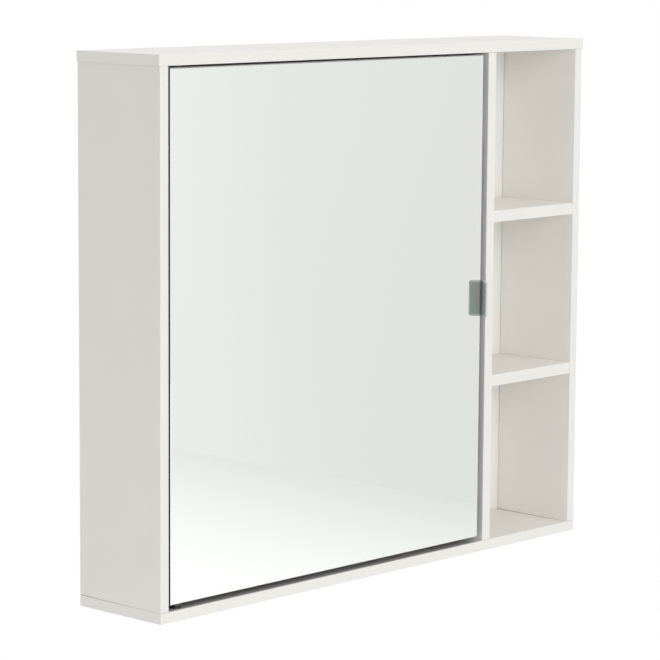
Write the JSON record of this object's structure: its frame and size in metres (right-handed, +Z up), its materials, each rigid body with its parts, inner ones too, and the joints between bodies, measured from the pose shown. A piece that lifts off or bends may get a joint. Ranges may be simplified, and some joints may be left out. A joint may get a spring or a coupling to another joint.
{
  "type": "bathroom mirror cabinet",
  "caption": "Wall-hung white bathroom cabinet with an inset mirror door on pivots, a small finger tab, inner shelves and an open side bay with fixed shelves.",
  "frame": {"origin": "on the wall plane, midway between the two wall screw holes in the hanging rail", "axes": "+X to the right seen from the front, +Y into the wall, +Z up; the door faces -Y"},
  "size_m": [0.7, 0.14, 0.6],
  "materials": {
    "white_board": "white foil-faced chipboard, satin",
    "white_hardboard": "white lacquered hardboard",
    "raw_chipboard": "raw chipboard",
    "edge_band": "white edge band, satin",
    "beech_dowel": "plain turned beech",
    "nickel_steel": "nickel plated",
    "zinc_steel": "zinc plated",
    "nylon": "natural nylon",
    "catch_plastic": "white moulded plastic",
    "ferrite": "black ferrite",
    "silvered_glass": "silvered float glass",
    "foam_tape": "white double-sided foam tape",
    "satin_aluminium": "satin"
  },
  "bodies": {
    "carcass": {"top_panel": "white_board", "bottom_panel": "white_board", "left_side_panel": "white_board", "right_side_panel": "white_board", "divider_panel": "white_board", "upper_open_shelf": "white_board", "lower_open_shelf": "white_board", "upper_inner_shelf": "white_board", "lower_inner_shelf": "white_board", "hanging_rail": "raw_chipboard", "back_panel": "white_hardboard", "board_edge_bands": "edge_band", "board_end_bands": "edge_band", "open_shelf_bands": "edge_band", "inner_shelf_bands": "edge_band", "board_dowels": "beech_dowel", "shelf_dowels": "beech_dowel", "shelf_pins": "nickel_steel", "back_nails": "zinc_steel", "catch_screws": "zinc_steel", "lower_pivot_pin": "zinc_steel", "upper_pivot_pin": "zinc_steel", "panel_bushes": "nylon", "catch_housings": "catch_plastic", "catch_magnets": "ferrite"},
    "door": {"door_board": "white_board", "door_edge_bands": "edge_band", "mirror_glass": "silvered_glass", "mirror_tape": "foam_tape", "door_handle": "satin_aluminium", "handle_screws": "zinc_steel", "door_bushes": "nylon", "strike_plates": "zinc_steel", "strike_screws": "zinc_steel"}
  },
  "joints": [
    {"name": "door_swing", "type": "hinge", "parent": "carcass", "child": "door", "pos_m": [-0.3185, -0.1172, 0], "axis": [0, 0, -1], "range_deg": [0, 120]}
  ]
}
